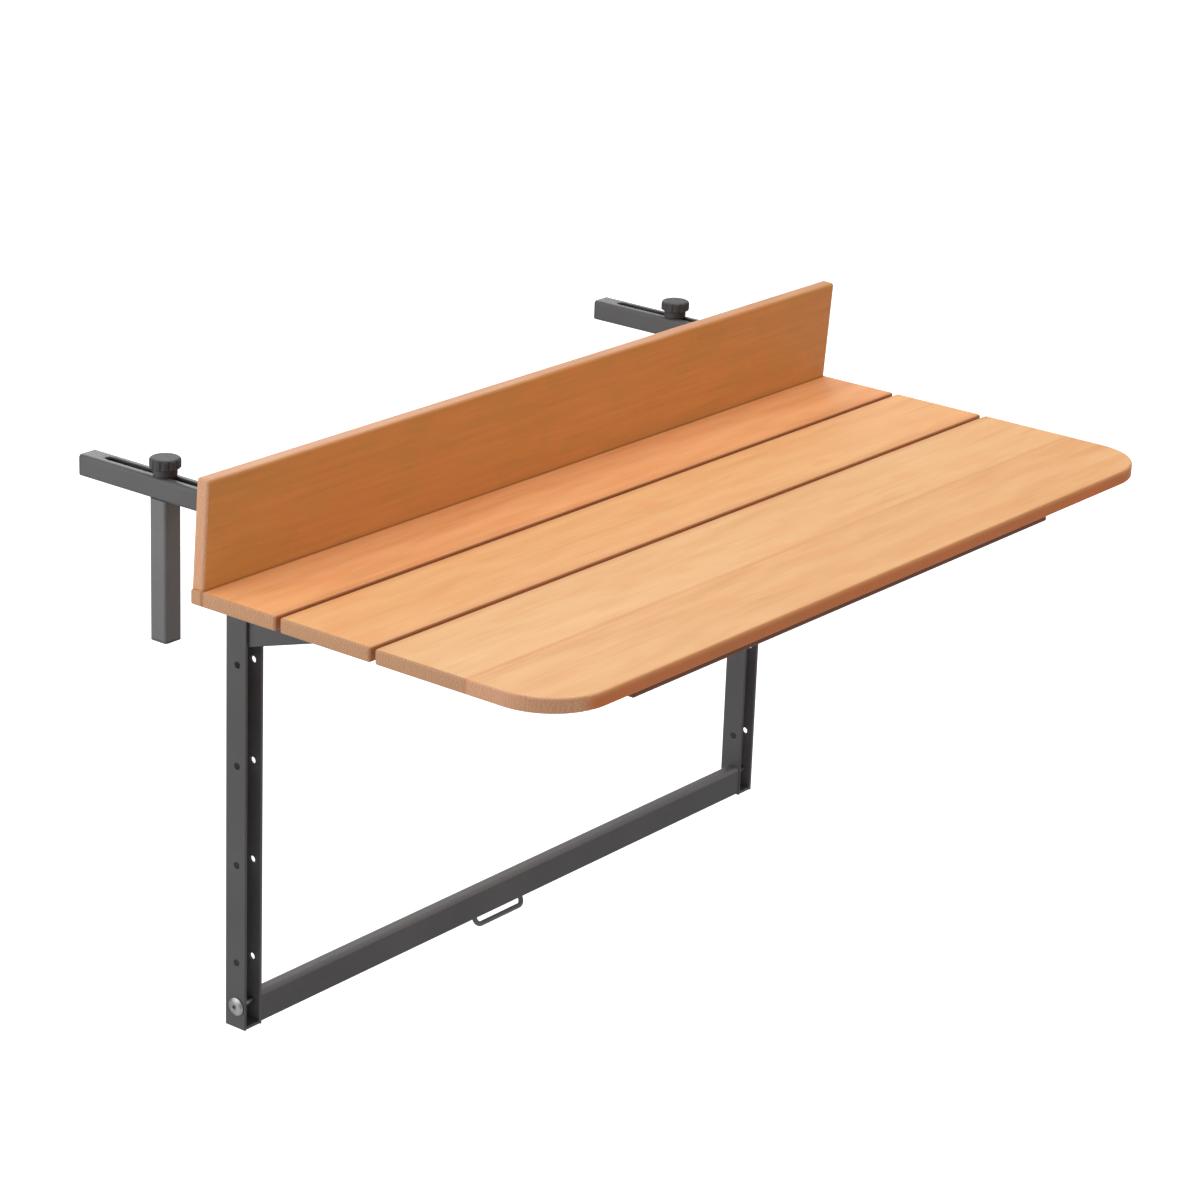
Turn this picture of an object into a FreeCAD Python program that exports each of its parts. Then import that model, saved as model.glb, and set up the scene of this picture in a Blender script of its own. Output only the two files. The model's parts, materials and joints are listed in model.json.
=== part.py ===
import FreeCAD, Part
import math
import os
import re
import Sketcher

# A bar table that hangs on a balcony railing. X runs along the table's length, -Y points to the
# user and +Y over the railing, +Z is up. The origin lies midway between the two hanger arms, on
# the plane of the uprights' backs and of the arms' undersides: the corner that meets the rail.

Vector = FreeCAD.Vector
Rotation = FreeCAD.Rotation

SIDES = (("left", -1), ("right", 1))

# How far an outline that cuts runs past the material, in millimetres
OVERCUT = 1
HEIGHT_HOLES = 5

SIZES = {
    # Tabletop boards
    "table_length": 900,
    "board_thickness": 13.5,
    "rear_board_width": 97,
    "middle_board_width": 99,
    "front_board_width": 96,
    "board_gap": 5,
    "corner_radius": 58,
    "board_end_round": 2.5,
    "board_edge_round": 2,
    "top_drop": 33,
    "top_setback": 1.5,
    # Backboard
    "backboard_height": 99,
    "backboard_end_inset": 2,
    "backboard_lean": 3.5,
    "backboard_edge_round": 2.5,
    # Wood under the top
    "batten_end_inset": 137,
    "batten_depth": 20,
    "batten_height": 25,
    "batten_setback": 33,
    "cleat_width": 40,
    "cleat_height": 15,
    "cleat_rear_inset": 24,
    "cleat_front_gap": 6,
    "wood_trim_round": 1.5,
    # Brackets
    "bracket_wall": 2.5,
    "bracket_side_clearance": 0.3,
    "bracket_heel_clearance": 0.3,
    "bracket_root_drop": 59,
    "bracket_tip_drop": 16,
    "bracket_fold_round": 2,
    "bracket_taper_length": 141.5,
    "bracket_reach": 350,
    "bracket_hook_rise": 16,
    "bracket_hook_front_gap": 1,
    "hook_slot_clearance": 0.3,
    # Screws
    "screw_radius": 2,
    "screw_head_radius": 3.8,
    "screw_head_flat_radius": 2.3,
    "screw_head_rim_radius": 3.4,
    "screw_head_height": 2.2,
    "screw_head_rim_height": 1.3,
    "screw_slot_length": 4,
    "screw_slot_width": 1,
    "screw_slot_depth": 1.1,
    "screw_bite": 10,
    "backboard_screw_bite": 26,
    "screw_hole_clearance": 0.05,
    "screw_edge_distance": 23,
    "batten_screw_inset": 57,
    "batten_screw_recess": 9,
    "recess_clearance": 0.5,
    "pilot_extra_depth": 0.5,
    "backboard_screw_inset": 50,
    # Uprights, whose feet are upright_below lower than the lowest height hole
    "upright_end_inset": 81,
    "channel_width": 22,
    "channel_depth": 25,
    "channel_wall": 2.5,
    "channel_bend_round": 2.5,
    "channel_lip_round": 1,
    "upright_below": 63.5,
    "hole_line_depth": 14.6,
    "hole_radius": 3.25,
    "top_hole_drop": 30,
    "hole_pitch": 94,
    "foot_plate_thickness": 3,
    "foot_plate_setback": 1,
    # Crossbar
    "crossbar_height": 28.5,
    "crossbar_depth": 15,
    "crossbar_setback": 1,
    "crossbar_rise": 1.5,
    "crossbar_wall": 1.5,
    "crossbar_top_round": 4,
    "crossbar_bottom_round": 1,
    "crossbar_bolt_rise": 21,
    "plug_length": 22,
    "plug_clearance": 0.1,
    # Bolts and nuts
    "bolt_radius": 3,
    "bolt_head_radius": 8.5,
    "bolt_shoulder_radius": 6.2,
    "bolt_crown_radius": 3.9,
    "bolt_head_height": 3,
    "bolt_rim_height": 1,
    "bolt_shoulder_height": 2.5,
    "bolt_socket_flat": 2,
    "bolt_socket_depth": 1.8,
    "bolt_bore_clearance": 0.05,
    "bolt_plug_bite": 14,
    "bolt_past_nut": 1.5,
    "nut_flat": 5,
    "nut_height": 5,
    # Tie-down loop
    "loop_wire_radius": 2.5,
    "loop_width": 68,
    "loop_drop": 10.8,
    "loop_bend_radius": 6,
    "loop_tilt": 27,
    "loop_offset": -22.5,
    # Hanger arms
    "arm_inset": 6,
    "arm_width": 22,
    "arm_height": 20,
    "arm_wall": 2,
    "arm_length": 183,
    "arm_edge_round": 3,
    "slot_radius": 4.3,
    "slot_front_inset": 28,
    "slot_rear_inset": 22.5,
    "cap_thickness": 2,
    "cap_plug_depth": 8,
    "cap_clearance": 0.1,
    # Clamps
    "jaw_size": 20,
    "jaw_wall": 2,
    "jaw_length": 131,
    "jaw_edge_round": 3,
    "jaw_gap_to_upright": 78,
    "slide_clearance": 0.2,
    "insert_height": 14,
    "tongue_length": 12,
    "tongue_rise": 1.6,
    "stud_radius": 4,
    "stud_clearance": 0.05,
    "washer_bore_clearance": 0.15,
    "stud_depth": 30,
    "washer_radius": 10.5,
    "washer_thickness": 1.5,
    "knob_radius": 14,
    "knob_head_height": 10.5,
    "knob_hub_radius": 10.8,
    "knob_hub_height": 4.5,
    "knob_undercut_height": 2,
    "knob_flutes": 12,
    "knob_flute_radius": 2.6,
    "knob_flute_depth": 0.9,
    "knob_edge_round": 2.5,
    "knob_stud_cover": 3.5,
}


class Size:
    """A length with the expression that gives it, so that sums of sizes stay bound to the sheet."""

    def __init__(self, value, text):
        self.value = float(value)
        self.text = text

    def join(self, other, sign, swapped=False):
        other = as_size(other)
        first, second = (other, self) if swapped else (self, other)
        a, b = first.value, second.value
        value = {"+": a + b, "-": a - b, "*": a * b}.get(sign)
        if sign == "/":
            value = a / b
        return Size(value, f"({first.text} {sign} {second.text})")

    def __add__(self, other):
        return self.join(other, "+")

    def __radd__(self, other):
        return self.join(other, "+", True)

    def __sub__(self, other):
        return self.join(other, "-")

    def __rsub__(self, other):
        return self.join(other, "-", True)

    def __mul__(self, other):
        return self.join(other, "*")

    def __rmul__(self, other):
        return self.join(other, "*", True)

    def __truediv__(self, other):
        return self.join(other, "/")

    def __neg__(self):
        return self.join(-1, "*")


def as_size(number):
    """Wraps a plain number, which stays as it is in an expression."""
    if isinstance(number, Size):
        return number
    return Size(number, repr(float(number)))


doc = FreeCAD.newDocument("RailingTable")
sheet = doc.addObject("Spreadsheet::Sheet", "Sizes")
for row, (name, number) in enumerate(SIZES.items(), start=1):
    sheet.set(f"A{row}", name)
    sheet.set(f"B{row}", str(number))
    sheet.setAlias(f"B{row}", name)
doc.recompute()


def size(name):
    """One size of the sheet, under its alias."""
    return Size(SIZES[name], f"Sizes.{name}")


def tangent(angle_name):
    """The tangent of an angle that the sheet holds in degrees."""
    degrees = SIZES[angle_name]
    return Size(math.tan(math.radians(degrees)), f"tan(Sizes.{angle_name} * 1 deg)")


def cosine(angle_name):
    """The cosine of an angle that the sheet holds in degrees."""
    degrees = SIZES[angle_name]
    return Size(math.cos(math.radians(degrees)), f"cos(Sizes.{angle_name} * 1 deg)")


# Sketches and features


def new_body(name):
    """An empty body, whose label becomes the name of its file."""
    body = doc.addObject("PartDesign::Body", name)
    body.Label = name
    return body


def new_sketch(body, plane, name, offset=None, turn=None):
    """A sketch on one of the body's own origin planes, moved along its normal or turned in place."""
    sketch = body.newObject("Sketcher::SketchObject", f"{body.Name}_{name}")
    support = [item for item in body.Origin.OriginFeatures if item.Role == plane][0]
    sketch.AttachmentSupport = (support, [""])
    sketch.MapMode = "FlatFace"
    if turn is not None:
        angle_name, axis = turn
        sketch.AttachmentOffset = FreeCAD.Placement(Vector(), Rotation(axis, SIZES[angle_name]))
        sketch.setExpression("AttachmentOffset.Rotation.Angle", f"Sizes.{angle_name} * 1 deg")
    if offset is not None:
        sketch.setExpression("AttachmentOffset.Base.z", as_size(offset).text)
    return sketch


def pin_point(sketch, index, position, x, y):
    """Holds one point of a sketch at x and y from the sketch's origin."""
    for kind, place in (("DistanceX", as_size(x)), ("DistanceY", as_size(y))):
        number = sketch.addConstraint(
            Sketcher.Constraint(kind, -1, 1, index, position, place.value)
        )
        sketch.setExpression(f"Constraints[{number}]", place.text)


def outline(sketch, points):
    """A closed outline of straight lines through the given points."""
    points = [(as_size(x), as_size(y)) for x, y in points]
    first = sketch.GeometryCount
    count = len(points)
    for index, (x, y) in enumerate(points):
        next_x, next_y = points[(index + 1) % count]
        start = Vector(x.value, y.value, 0)
        end = Vector(next_x.value, next_y.value, 0)
        sketch.addGeometry(Part.LineSegment(start, end))
    for index in range(count):
        follower = first + (index + 1) % count
        sketch.addConstraint(Sketcher.Constraint("Coincident", first + index, 2, follower, 1))
    for index, (x, y) in enumerate(points):
        pin_point(sketch, first + index, 1, x, y)


def rectangle(sketch, x0, x1, y0, y1):
    """A rectangle between two pairs of sides."""
    outline(sketch, [(x0, y0), (x1, y0), (x1, y1), (x0, y1)])


def circle(sketch, x, y, radius):
    """A circle about x and y."""
    x, y, radius = as_size(x), as_size(y), as_size(radius)
    shape = Part.Circle(Vector(x.value, y.value, 0), Vector(0, 0, 1), radius.value)
    index = sketch.addGeometry(shape)
    pin_point(sketch, index, 3, x, y)
    number = sketch.addConstraint(Sketcher.Constraint("Radius", index, radius.value))
    sketch.setExpression(f"Constraints[{number}]", radius.text)


def slot(sketch, x, y0, y1, radius):
    """A slot along y with round ends, whose ends' centres are y0 and y1."""
    x, y0, y1, radius = as_size(x), as_size(y0), as_size(y1), as_size(radius)
    left, right = x.value - radius.value, x.value + radius.value
    up = Vector(0, 0, 1)
    near = Part.Circle(Vector(x.value, y0.value, 0), up, radius.value)
    far = Part.Circle(Vector(x.value, y1.value, 0), up, radius.value)
    near_end = sketch.addGeometry(Part.ArcOfCircle(near, math.pi, 2 * math.pi))
    right_side = sketch.addGeometry(
        Part.LineSegment(Vector(right, y0.value, 0), Vector(right, y1.value, 0))
    )
    far_end = sketch.addGeometry(Part.ArcOfCircle(far, 0, math.pi))
    left_side = sketch.addGeometry(
        Part.LineSegment(Vector(left, y1.value, 0), Vector(left, y0.value, 0))
    )
    ring = (near_end, right_side, far_end, left_side)
    for index in range(len(ring)):
        joint = Sketcher.Constraint("Tangent", ring[index], 2, ring[(index + 1) % len(ring)], 1)
        sketch.addConstraint(joint)
    pin_point(sketch, near_end, 3, x, y0)
    pin_point(sketch, far_end, 3, x, y1)
    for arc in (near_end, far_end):
        number = sketch.addConstraint(Sketcher.Constraint("Radius", arc, radius.value))
        sketch.setExpression(f"Constraints[{number}]", radius.text)


def pad(body, sketch, length, both_ways=False, backwards=False):
    """Thickens a sketch into a solid."""
    feature = body.newObject("PartDesign::Pad", f"{sketch.Name}_pad")
    feature.Profile = sketch
    feature.setExpression("Length", as_size(length).text)
    if both_ways:
        feature.SideType = "Symmetric"
    feature.Reversed = backwards
    sketch.Visibility = False
    return feature


def pocket(body, sketch, length=None, both_ways=False, backwards=False):
    """Cuts a sketch out of the body, right through when no length is given."""
    feature = body.newObject("PartDesign::Pocket", f"{sketch.Name}_cut")
    feature.Profile = sketch
    if length is None:
        feature.Type = "ThroughAll"
    else:
        feature.setExpression("Length", as_size(length).text)
    if both_ways:
        feature.SideType = "Symmetric"
    feature.Reversed = backwards
    doc.recompute()
    removed = body_before(body, feature).Shape.Volume - feature.Shape.Volume
    if removed < 0.01:
        raise RuntimeError(f"{feature.Name} removes nothing")
    return feature


def body_before(body, feature):
    """The solid feature that the given one follows."""
    solids = [item for item in body.Group if item.isDerivedFrom("PartDesign::Feature")]
    return solids[solids.index(feature) - 1]


def revolve(body, sketch):
    """Turns a sketch about its own vertical axis."""
    feature = body.newObject("PartDesign::Revolution", f"{sketch.Name}_turned")
    feature.Profile = sketch
    feature.ReferenceAxis = (sketch, ["V_Axis"])
    feature.Angle = 360
    return feature


def round_edges(body, name, radius, wanted):
    """Rounds the edges of the newest feature for which wanted(edge) is true."""
    doc.recompute()
    base = body.Tip
    edges = base.Shape.Edges
    chosen = [f"Edge{number}" for number, edge in enumerate(edges, start=1) if wanted(edge)]
    feature = body.newObject("PartDesign::Fillet", f"{body.Name}_{name}")
    feature.Base = (base, chosen)
    feature.setExpression("Radius", as_size(radius).text)
    doc.recompute()
    return feature


def runs_along(edge, axis):
    """Whether an edge is a straight line along one axis, 0 for X, 1 for Y and 2 for Z."""
    if edge.Curve.TypeId != "Part::GeomLine":
        return False
    direction = edge.Curve.Direction
    return abs(abs(direction[axis]) - 1) < 1e-6


def lies_at(edge, axis, level):
    """Whether a whole edge lies in the plane at that level across one axis."""
    low = (edge.BoundBox.XMin, edge.BoundBox.YMin, edge.BoundBox.ZMin)[axis]
    high = (edge.BoundBox.XMax, edge.BoundBox.YMax, edge.BoundBox.ZMax)[axis]
    return abs(low - level) < 1e-4 and abs(high - level) < 1e-4


def place(body, x=0, y=0, z=0, turn=0):
    """Puts a finished body where it belongs, turned about Z by a number of degrees."""
    body.Placement = FreeCAD.Placement(Vector(), Rotation(Vector(0, 0, 1), turn))
    for axis, length in (("x", x), ("y", y), ("z", z)):
        body.setExpression(f"Placement.Base.{axis}", as_size(length).text)
    nodes.append(body)
    return body


nodes = []

# Places that several sub-parts share

board_thickness = size("board_thickness")
half_length = size("table_length") / 2
table_top = -size("top_drop")
table_underside = table_top - board_thickness
table_rear = -(size("channel_depth") + size("top_setback"))
rear_board_front = table_rear - size("rear_board_width")
middle_board_rear = rear_board_front - size("board_gap")
middle_board_front = middle_board_rear - size("middle_board_width")
front_board_rear = middle_board_front - size("board_gap")
glue_line = front_board_rear - size("front_board_width")
table_front = glue_line - size("front_board_width")
upright_x = half_length - size("upright_end_inset")
arm_x = upright_x - size("arm_inset")
batten_end = half_length - size("batten_end_inset")
hole_line = -size("hole_line_depth")
top_hole = -size("top_hole_drop")
lowest_hole = top_hole - (HEIGHT_HOLES - 1) * size("hole_pitch")
frame_bottom = lowest_hole - size("upright_below")
channel_inside = size("channel_width") - 2 * size("channel_wall")
bracket_width = channel_inside - 2 * size("bracket_side_clearance")
screw_hole = size("screw_radius") + size("screw_hole_clearance")
bracket_tip = table_rear - size("bracket_reach")
cleat_rear = table_rear - size("cleat_rear_inset")
batten_front = table_front + size("batten_setback")
batten_rear = batten_front + size("batten_depth")
cleat_front = batten_rear + size("cleat_front_gap")
backboard_foot_middle = table_rear - board_thickness / 2
last_backboard_screw = half_length - size("backboard_screw_inset")
backboard_screw_columns = [last_backboard_screw * share for share in (-1, -0.5, 0, 0.5, 1)]
last_batten_screw = batten_end - size("batten_screw_inset")
batten_screw_columns = [last_batten_screw * share for share in (-1, 0, 1)]

edge_distance = size("screw_edge_distance")
screw_rows = (
    ("rear_board", table_rear - edge_distance),
    ("rear_board", rear_board_front + edge_distance),
    ("middle_board", middle_board_rear - edge_distance),
    ("middle_board", middle_board_front + edge_distance),
    ("front_inner_board", front_board_rear - edge_distance),
    ("front_inner_board", glue_line + edge_distance),
    ("front_outer_board", glue_line - edge_distance),
)


# Tabletop


def board(name, rear, front, rounded_front=False):
    """One board of the top, drilled from below for the screws that hold it."""
    body = new_body(name)
    sketch = new_sketch(body, "XY_Plane", "plan", offset=table_underside)
    rectangle(sketch, -half_length, half_length, front, rear)
    pad(body, sketch, board_thickness)
    if rounded_front:
        round_edges(
            body,
            "corners",
            size("corner_radius"),
            lambda edge: runs_along(edge, 2) and lies_at(edge, 1, front.value),
        )
    else:
        free_sides = [side.value for side in (rear, front) if side.value != glue_line.value]
        round_edges(
            body,
            "ends",
            size("board_end_round"),
            lambda edge: runs_along(edge, 2)
            and any(lies_at(edge, 1, side) for side in free_sides),
        )
    levels = (table_underside.value, table_top.value)
    round_edges(
        body,
        "softened",
        size("board_edge_round"),
        lambda edge: any(lies_at(edge, 2, level) for level in levels)
        and not (name.startswith("front") and lies_at(edge, 1, glue_line.value)),
    )
    drill = new_sketch(body, "XY_Plane", "screw_holes", offset=table_underside)
    for owner, row_y in screw_rows:
        if owner == name:
            for column in (-upright_x, as_size(0), upright_x):
                circle(drill, column, row_y, screw_hole)
    if rounded_front:
        for column in batten_screw_columns:
            circle(drill, column, (batten_front + batten_rear) / 2, screw_hole)
    pocket(body, drill, size("screw_bite") + size("pilot_extra_depth"), backwards=True)
    if name == "rear_board":
        through = new_sketch(body, "XY_Plane", "backboard_holes", offset=table_underside)
        for column in backboard_screw_columns:
            circle(through, column, backboard_foot_middle, screw_hole)
        pocket(body, through, board_thickness, backwards=True)
    return place(body)


def backboard():
    """The board that stands on the rear board's back edge and leans towards the user."""
    body = new_body("backboard")
    sketch = new_sketch(body, "YZ_Plane", "section")
    height = size("backboard_height")
    lean = tangent("backboard_lean")
    rise = height * cosine("backboard_lean")
    top_rear_y = table_rear - rise * lean
    thick = board_thickness
    tip_drop = thick * cosine("backboard_lean") * lean
    outline(
        sketch,
        [
            (table_rear, table_top),
            (top_rear_y, table_top + rise),
            (top_rear_y - thick * cosine("backboard_lean"), table_top + rise - tip_drop),
            (table_rear - thick / cosine("backboard_lean"), table_top),
        ],
    )
    length = size("table_length") - 2 * size("backboard_end_inset")
    pad(body, sketch, length, both_ways=True)
    end = length.value / 2
    round_edges(
        body,
        "softened",
        size("backboard_edge_round"),
        lambda edge: not lies_at(edge, 2, table_top.value)
        and (runs_along(edge, 0) or lies_at(edge, 0, end) or lies_at(edge, 0, -end)),
    )
    drill = new_sketch(body, "XY_Plane", "screw_holes", offset=table_top)
    for column in backboard_screw_columns:
        circle(drill, column, backboard_foot_middle, screw_hole)
    depth = size("backboard_screw_bite") + size("pilot_extra_depth")
    pocket(body, drill, depth, backwards=True)
    return place(body)


def front_batten():
    """The stiffening batten screwed under the front board."""
    body = new_body("front_batten")
    sketch = new_sketch(body, "XY_Plane", "plan", offset=table_underside)
    rectangle(sketch, -batten_end, batten_end, batten_front, batten_rear)
    pad(body, sketch, size("batten_height"), backwards=True)
    bottom = (table_underside - size("batten_height")).value
    round_edges(
        body, "softened", size("wood_trim_round"), lambda edge: lies_at(edge, 2, bottom)
    )
    middle = (batten_front + batten_rear) / 2
    drill = new_sketch(body, "XY_Plane", "screw_holes", offset=table_underside)
    recess = new_sketch(
        body, "XY_Plane", "recesses", offset=table_underside - size("batten_height")
    )
    for column in batten_screw_columns:
        circle(drill, column, middle, screw_hole)
        circle(recess, column, middle, size("screw_head_radius") + size("recess_clearance"))
    pocket(body, drill)
    pocket(body, recess, size("batten_screw_recess"), backwards=True)
    return place(body)


def middle_cleat():
    """The cleat across the grain that keeps the boards level at mid-length."""
    body = new_body("middle_cleat")
    half = size("cleat_width") / 2
    sketch = new_sketch(body, "XY_Plane", "plan", offset=table_underside)
    rectangle(sketch, -half, half, cleat_front, cleat_rear)
    pad(body, sketch, size("cleat_height"), backwards=True)
    bottom = (table_underside - size("cleat_height")).value
    round_edges(
        body, "softened", size("wood_trim_round"), lambda edge: lies_at(edge, 2, bottom)
    )
    drill = new_sketch(body, "XY_Plane", "screw_holes", offset=table_underside)
    for owner, row_y in screw_rows:
        circle(drill, 0, row_y, screw_hole)
    pocket(body, drill)
    return place(body)


def bracket(side, sign):
    """A folded arm, open below, that carries the boards and hooks over a bolt in the channel."""
    body = new_body(f"{side}_bracket")
    heel_y = -(size("channel_wall") + size("bracket_heel_clearance"))
    hook_top = top_hole + size("bracket_hook_rise")
    hook_front = table_rear + size("bracket_hook_front_gap")
    root_bottom = table_underside - size("bracket_root_drop")
    tip_bottom = table_underside - size("bracket_tip_drop")
    channel_front = -size("channel_depth")
    profile = new_sketch(body, "YZ_Plane", "side")
    outline(
        profile,
        [
            (heel_y, hook_top),
            (hook_front, hook_top),
            (hook_front, table_underside),
            (bracket_tip, table_underside),
            (bracket_tip, tip_bottom),
            (channel_front - size("bracket_taper_length"), tip_bottom),
            (channel_front, root_bottom),
            (heel_y, root_bottom),
        ],
    )
    pad(body, profile, bracket_width, both_ways=True)
    half = bracket_width.value / 2
    round_edges(
        body,
        "folds",
        size("bracket_fold_round"),
        lambda edge: runs_along(edge, 1)
        and lies_at(edge, 2, table_underside.value)
        and (lies_at(edge, 0, half) or lies_at(edge, 0, -half)),
    )
    round_edges(
        body,
        "hook_corners",
        size("bracket_wall"),
        lambda edge: runs_along(edge, 0)
        and (lies_at(edge, 2, hook_top.value) or lies_at(edge, 2, root_bottom.value)),
    )
    wall = size("bracket_wall")
    hollow = new_sketch(body, "YZ_Plane", "hollow")
    outline(
        hollow,
        [
            (heel_y + OVERCUT, hook_top + OVERCUT),
            (hook_front + wall, hook_top + OVERCUT),
            (hook_front + wall, table_underside - wall),
            (bracket_tip + wall, table_underside - wall),
            (bracket_tip + wall, root_bottom - OVERCUT),
            (heel_y + OVERCUT, root_bottom - OVERCUT),
        ],
    )
    pocket(body, hollow, bracket_width - 2 * wall, both_ways=True)
    slot_half = size("bolt_radius") + size("hook_slot_clearance")
    hook_slot = new_sketch(body, "YZ_Plane", "hook_slot")
    slot(hook_slot, hole_line, root_bottom - 2 * slot_half, top_hole, slot_half)
    pocket(body, hook_slot, both_ways=True)
    drill = new_sketch(body, "XY_Plane", "screw_holes", offset=table_underside)
    for owner, row_y in screw_rows:
        circle(drill, 0, row_y, screw_hole)
    pocket(body, drill, wall)
    return place(body, x=sign * upright_x)


def screw(name, length):
    """One round-head screw that stands on its head, with the head's top face at the origin."""
    body = new_body(name)
    profile = new_sketch(body, "XZ_Plane", "profile")
    head = size("screw_head_radius")
    high = size("screw_head_height")
    outline(
        profile,
        [
            (0, -high),
            (size("screw_head_flat_radius"), -high),
            (size("screw_head_rim_radius"), -size("screw_head_rim_height")),
            (head, 0),
            (size("screw_radius"), 0),
            (size("screw_radius"), length),
            (0, length),
        ],
    )
    revolve(body, profile)
    cross = new_sketch(body, "XY_Plane", "cross", offset=-high)
    arm = size("screw_slot_length") / 2
    thin = size("screw_slot_width") / 2
    outline(
        cross,
        [
            (-arm, -thin),
            (-thin, -thin),
            (-thin, -arm),
            (thin, -arm),
            (thin, -thin),
            (arm, -thin),
            (arm, thin),
            (thin, thin),
            (thin, arm),
            (-thin, arm),
            (-thin, thin),
            (-arm, thin),
        ],
    )
    pocket(body, cross, size("screw_slot_depth"), backwards=True)
    return body


def group(name, original, places):
    """One node of separate solids: copies of a body at (x, y, z, turn about Y) places."""
    copies = []
    for number, (x, y, z, turn) in enumerate(places, start=1):
        link = doc.addObject("App::Link", f"{name}_{number}")
        link.LinkedObject = original
        link.Placement = FreeCAD.Placement(Vector(), Rotation(Vector(0, 1, 0), turn))
        for axis, length in (("x", x), ("y", y), ("z", z)):
            link.setExpression(f"Placement.Base.{axis}", as_size(length).text)
        copies.append(link)
    compound = doc.addObject("Part::Compound", name)
    compound.Label = name
    compound.Links = copies
    nodes.append(compound)
    return compound


def screws():
    """All the wood screws, one group for each job."""
    bite = size("screw_bite")
    wall = size("bracket_wall")
    rows = [row_y for owner, row_y in screw_rows]
    carrier_screw = screw("bracket_screw", wall + bite)
    head_z = table_underside - wall
    places = [(sign * upright_x, row_y, head_z, 0) for side, sign in SIDES for row_y in rows]
    group("bracket_screws", carrier_screw, places)
    cleat_screw = screw("cleat_screw", size("cleat_height") + bite)
    head_z = table_underside - size("cleat_height")
    group("cleat_screws", cleat_screw, [(0, row_y, head_z, 0) for row_y in rows])
    grip = size("batten_height") - size("batten_screw_recess")
    batten_screw = screw("batten_screw", grip + bite)
    middle = (batten_front + batten_rear) / 2
    head_z = table_underside - grip
    places = [(column, middle, head_z, 0) for column in batten_screw_columns]
    group("batten_screws", batten_screw, places)
    long_screw = screw("backboard_screw", board_thickness + size("backboard_screw_bite"))
    places = [
        (column, backboard_foot_middle, table_underside, 0) for column in backboard_screw_columns
    ]
    group("backboard_screws", long_screw, places)


# Hanging frame


def upright(side, sign):
    """A channel open to the front, drilled through both flanges."""
    body = new_body(f"{side}_upright")
    half = size("channel_width") / 2
    depth = size("channel_depth")
    wall = size("channel_wall")
    section = new_sketch(body, "XY_Plane", "section", offset=frame_bottom)
    outline(
        section,
        [
            (-half, 0),
            (-half, -depth),
            (-half + wall, -depth),
            (-half + wall, -wall),
            (half - wall, -wall),
            (half - wall, -depth),
            (half, -depth),
            (half, 0),
        ],
    )
    pad(body, section, size("arm_height") - frame_bottom)
    round_edges(
        body,
        "bends",
        size("channel_bend_round"),
        lambda edge: runs_along(edge, 2) and lies_at(edge, 1, 0) and abs(edge.BoundBox.XMin) > 1,
    )
    round_edges(
        body,
        "lips",
        size("channel_lip_round"),
        lambda edge: runs_along(edge, 2) and lies_at(edge, 1, -depth.value),
    )
    drill = new_sketch(body, "YZ_Plane", "holes")
    for number in range(HEIGHT_HOLES):
        circle(drill, hole_line, top_hole - number * size("hole_pitch"), size("hole_radius"))
    circle(drill, hole_line, frame_bottom + size("crossbar_bolt_rise"), size("hole_radius"))
    pocket(body, drill, both_ways=True)
    return place(body, x=sign * upright_x)


def foot_plate(side, sign):
    """The plate welded into the channel's lower end."""
    body = new_body(f"{side}_foot_plate")
    half = channel_inside / 2
    sketch = new_sketch(body, "XY_Plane", "plan")
    front = size("foot_plate_setback") - size("channel_depth")
    rectangle(sketch, -half, half, front, -size("channel_wall"))
    pad(body, sketch, size("foot_plate_thickness"))
    return place(body, x=sign * upright_x, z=frame_bottom)


crossbar_half = upright_x - size("channel_width") / 2
crossbar_bottom = frame_bottom + size("crossbar_rise")
crossbar_middle = size("crossbar_setback") + size("crossbar_depth") / 2 - size("channel_depth")
bolt_height = frame_bottom + size("crossbar_bolt_rise")


def crossbar():
    """The flat tube between the uprights' lower ends."""
    body = new_body("crossbar")
    deep = size("crossbar_depth") / 2
    high = size("crossbar_height")
    wall = size("crossbar_wall")
    section = new_sketch(body, "YZ_Plane", "section")
    rectangle(section, -deep, deep, 0, high)
    pad(body, section, 2 * crossbar_half, both_ways=True)
    for name, level in (("top", high.value), ("bottom", 0)):
        round_edges(
            body,
            f"{name}_edges",
            size(f"crossbar_{name}_round"),
            lambda edge, level=level: runs_along(edge, 0) and lies_at(edge, 2, level),
        )
    bore = new_sketch(body, "YZ_Plane", "bore")
    rectangle(bore, -deep + wall, deep - wall, wall, high - wall)
    pocket(body, bore, both_ways=True)
    ceiling = (high - wall).value
    round_edges(
        body,
        "bore_edges",
        size("crossbar_top_round") - wall,
        lambda edge: runs_along(edge, 0) and lies_at(edge, 2, ceiling),
    )
    return place(body, y=crossbar_middle, z=crossbar_bottom)


def crossbar_plug(side, sign):
    """The threaded block inside one end of the crossbar."""
    body = new_body(f"{side}_crossbar_plug")
    shrink = size("crossbar_wall") + size("plug_clearance")
    deep = size("crossbar_depth") / 2 - shrink
    high = size("crossbar_height") - shrink
    sketch = new_sketch(body, "YZ_Plane", "section")
    rectangle(sketch, -deep, deep, shrink, high)
    bore = size("bolt_radius") + size("bolt_bore_clearance")
    circle(sketch, hole_line - crossbar_middle, bolt_height - crossbar_bottom, bore)
    pad(body, sketch, size("plug_length"), backwards=sign > 0)
    round_edges(
        body,
        "top_edges",
        size("crossbar_top_round") - shrink,
        lambda edge: runs_along(edge, 0) and lies_at(edge, 2, high.value),
    )
    return place(body, x=sign * crossbar_half, y=crossbar_middle, z=crossbar_bottom)


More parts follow.
